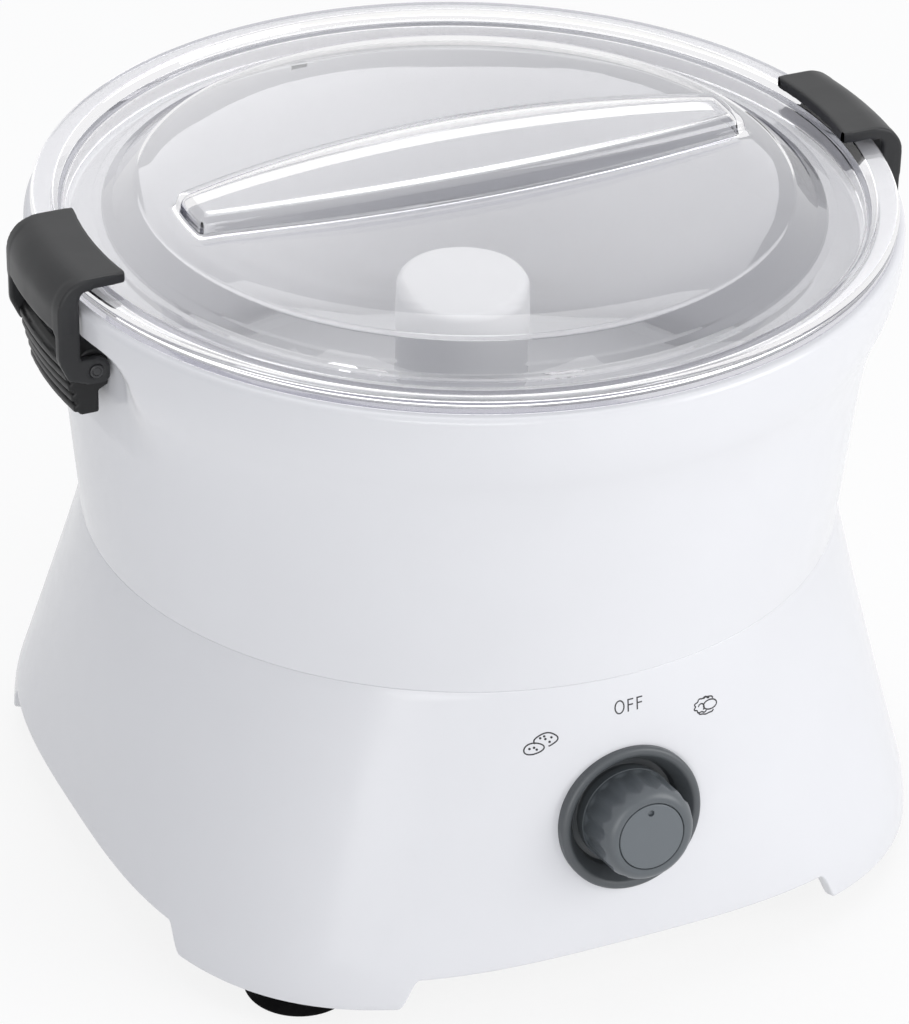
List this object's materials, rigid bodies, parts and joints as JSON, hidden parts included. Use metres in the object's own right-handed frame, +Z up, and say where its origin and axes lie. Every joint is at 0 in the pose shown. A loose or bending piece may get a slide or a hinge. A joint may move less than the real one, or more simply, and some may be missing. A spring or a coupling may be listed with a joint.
{
  "type": "electric potato peeler",
  "caption": "Square-footed motor base with a side knob, a lift-out round bowl holding a turning peeling disc, side latches and a clear lid with a raised grip",
  "frame": {"origin": "on the ground under the drive shaft, at the middle of the object's width and depth", "axes": "+Z up, -Y towards the knob, +X and -X towards the two latches"},
  "size_m": [0.268, 0.2712, 0.216],
  "materials": {
    "white_body": "glossy white moulded plastic",
    "white_disc": "glossy white moulded plastic",
    "pale_plastic": "plain pale grey inner moulding",
    "steel": "plain machined steel",
    "blade_steel": "stainless sheet",
    "foot_rubber": "soft black rubber",
    "bezel_grey": "smooth grey plastic",
    "knob_grey": "smooth grey plastic",
    "knob_cap_grey": "satin grey plastic",
    "switch_black": "black switch housing",
    "motor_can": "grey motor can",
    "plate_steel": "zinc plated steel plate",
    "bush_bronze": "sintered bronze",
    "seal_rubber": "dark lip seal rubber",
    "board_green": "green circuit board",
    "gland_rubber": "pale soft plastic bush",
    "gear_nylon": "natural nylon",
    "latch_grey": "satin dark grey plastic",
    "bracket_grey": "satin dark grey plastic",
    "pin_grey": "dark grey pin",
    "socket_plastic": "grey drive insert",
    "clear_plastic": "clear polished plastic"
  },
  "bodies": {
    "base": {"base_housing": "white_body", "deck": "pale_plastic", "bottom_cover": "pale_plastic", "cover_screws": "steel", "foot_front_left": "foot_rubber", "foot_front_right": "foot_rubber", "foot_rear_left": "foot_rubber", "foot_rear_right": "foot_rubber", "knob_bezel": "bezel_grey", "rotary_switch": "switch_black", "switch_nut": "steel", "motor": "motor_can", "motor_screws": "steel", "gear_plate_lower": "plate_steel", "gear_plate_upper": "plate_steel", "gear_plate_spacers": "steel", "gear_plate_screws": "steel", "shaft_bush_lower": "bush_bronze", "shaft_bush_upper": "bush_bronze", "layshaft_bushes": "bush_bronze", "deck_seal": "seal_rubber", "control_board": "board_green", "board_screws": "steel", "cord_gland": "gland_rubber"},
    "knob": {"control_knob": "knob_grey", "knob_cap": "knob_cap_grey", "switch_spindle": "steel"},
    "drive": {"main_shaft": "steel", "output_gear": "gear_nylon", "shaft_collar": "steel"},
    "layshaft": {"lay_shaft": "steel", "compound_gear": "gear_nylon"},
    "rotor": {"motor_shaft": "steel", "motor_pinion": "bush_bronze"},
    "bowl": {"bowl_shell": "white_body", "chimney_seal": "seal_rubber", "latch_bracket_left": "bracket_grey", "latch_bracket_right": "bracket_grey", "latch_pin_left": "pin_grey", "latch_pin_right": "pin_grey"},
    "disc": {"peeling_disc": "white_disc", "peeling_blades": "blade_steel", "blade_rivets": "steel", "hub_socket": "socket_plastic"},
    "latch_left": {"latch_hook_left": "latch_grey"},
    "latch_right": {"latch_hook_right": "latch_grey"},
    "lid": {"lid_shell": "clear_plastic"}
  },
  "joints": [
    {"name": "bowl_lift", "type": "slide", "parent": "base", "child": "bowl", "axis": [0, 0, 1], "range_m": [0, 0.075]},
    {"name": "knob_turn", "type": "hinge", "parent": "base", "child": "knob", "pos_m": [0, -0.1195, 0.0576], "axis": [0, -0.9889, 0.1487], "range_deg": [-50, 50]},
    {"name": "drive_spin", "type": "hinge", "parent": "base", "child": "drive", "pos_m": [0, 0, 0.06], "axis": [0, 0, 1], "continuous": true},
    {"name": "layshaft_spin", "type": "hinge", "parent": "base", "child": "layshaft", "pos_m": [0, 0.05, 0.06], "axis": [0, 0, 1], "continuous": true},
    {"name": "rotor_spin", "type": "hinge", "parent": "base", "child": "rotor", "pos_m": [0.03289, 0.03803, 0.06], "axis": [0, 0, 1], "continuous": true},
    {"name": "disc_spin", "type": "hinge", "parent": "bowl", "child": "disc", "pos_m": [0, 0, 0.1], "axis": [0, 0, 1], "continuous": true},
    {"name": "lid_lift", "type": "slide", "parent": "bowl", "child": "lid", "axis": [0, 0, 1], "range_m": [0, 0.0065]},
    {"name": "latch_left_swing", "type": "hinge", "parent": "bowl", "child": "latch_left", "pos_m": [-0.1214, 0, 0.1775], "axis": [0, -1, 0], "range_deg": [0, 110]},
    {"name": "latch_right_swing", "type": "hinge", "parent": "bowl", "child": "latch_right", "pos_m": [0.1214, 0, 0.1775], "axis": [0, 1, 0], "range_deg": [0, 110]}
  ],
  "couplings": [
    {"joint": "drive_spin", "follows": "disc_spin", "ratio": 1},
    {"joint": "layshaft_spin", "follows": "disc_spin", "ratio": -4},
    {"joint": "rotor_spin", "follows": "disc_spin", "ratio": 16},
    {"joint": "latch_left_swing", "follows": "lid_lift", "rad_per_m": 295.36},
    {"joint": "latch_right_swing", "follows": "lid_lift", "rad_per_m": 295.36}
  ]
}
